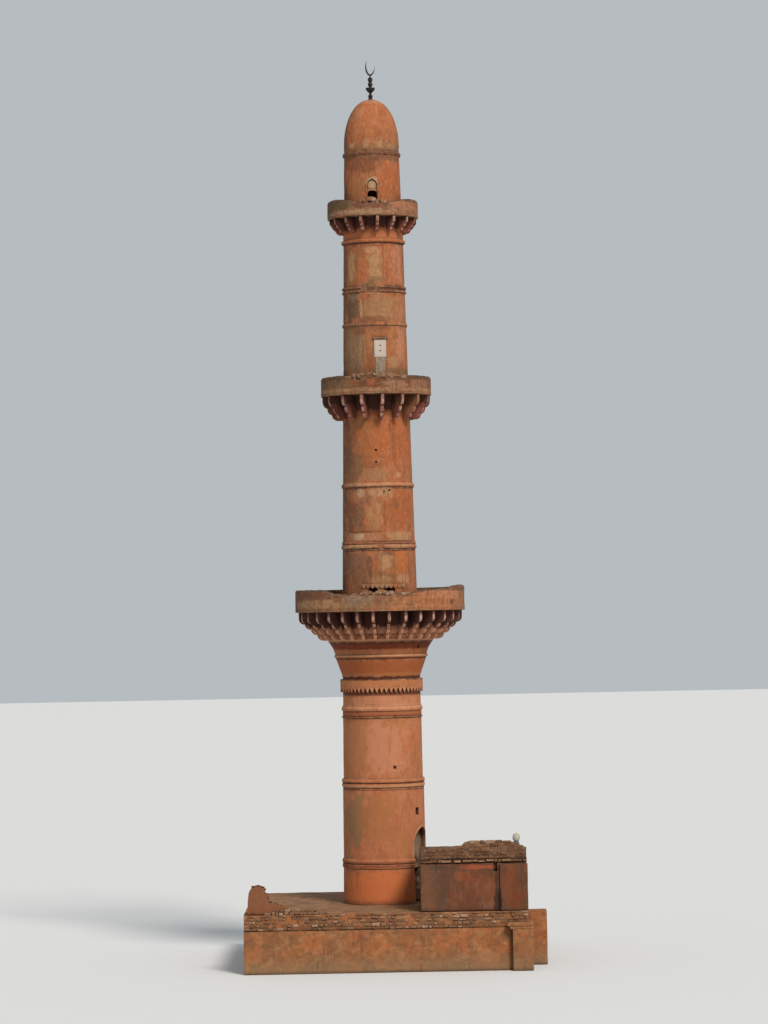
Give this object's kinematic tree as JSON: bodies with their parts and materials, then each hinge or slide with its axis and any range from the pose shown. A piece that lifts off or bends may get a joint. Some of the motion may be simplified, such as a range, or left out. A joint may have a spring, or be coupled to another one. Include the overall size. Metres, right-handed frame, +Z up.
{
  "type": "half-scale model of a masonry minaret",
  "caption": "Round masonry minaret with bracketed balconies, string courses, a dome and an iron crescent finial, on a square platform with a small annexe, at half size.",
  "frame": {"origin": "on the tower's axis at ground level, in the middle of the platform's underside", "axes": "+Z up along the tower, +X to the right and -Y towards the viewer of the front, where the annexe stands at the right"},
  "size_m": [10.3, 9.9, 31.4976],
  "materials": {
    "tower_plaster": "matt lime plaster with a worn terracotta wash",
    "upper_plaster": "matt lime plaster, worn to tan and brown patches",
    "bracket_stone": "rough carved stone, dark in the gaps",
    "weathered_masonry": "rough weathered plaster with dark lichen on its top edges",
    "red_masonry": "rough dark red-brown masonry",
    "base_plaster": "matt orange plaster",
    "rubble": "rough rubble fill",
    "pale_slab": "smooth pale stone slab",
    "wrought_iron": "dark weathered iron"
  },
  "bodies": {
    "root": {"annexe_back_wall": "red_masonry", "annexe_corner_pier": "red_masonry", "annexe_front_wall": "red_masonry", "annexe_left_wall": "red_masonry", "annexe_parapet": "weathered_masonry", "annexe_right_wall": "red_masonry", "annexe_roof": "weathered_masonry", "balcony_1_brackets": "bracket_stone", "balcony_1_floor": "weathered_masonry", "balcony_1_parapet": "weathered_masonry", "balcony_2_brackets": "bracket_stone", "balcony_2_floor": "weathered_masonry", "balcony_2_parapet": "weathered_masonry", "balcony_3_brackets": "bracket_stone", "balcony_3_floor": "weathered_masonry", "balcony_3_parapet": "weathered_masonry", "crescent": "wrought_iron", "dome": "upper_plaster", "dome_ring": "upper_plaster", "finial": "wrought_iron", "flare": "tower_plaster", "flare_cornice": "tower_plaster", "foot_drum": "tower_plaster", "lower_drum": "tower_plaster", "neck_drum": "tower_plaster", "pier_footing": "base_plaster", "platform_back_wall": "base_plaster", "platform_fill": "rubble", "platform_front_wall": "base_plaster", "platform_left_wall": "base_plaster", "platform_right_wall": "base_plaster", "ruined_wall": "red_masonry", "side_buttress": "base_plaster", "storey_2_foot_drum": "upper_plaster", "storey_2_middle_drum": "upper_plaster", "storey_2_upper_drum": "upper_plaster", "storey_3_foot_drum": "upper_plaster", "storey_3_middle_drum": "upper_plaster", "storey_3_upper_drum": "upper_plaster", "storey_4_drum": "upper_plaster", "string_course_1": "tower_plaster", "string_course_2": "tower_plaster", "string_course_3": "tower_plaster", "string_course_4": "upper_plaster", "string_course_5": "upper_plaster", "toothed_course": "tower_plaster", "upper_drum": "tower_plaster", "window_slab": "pale_slab"}
  },
  "joints": []
}
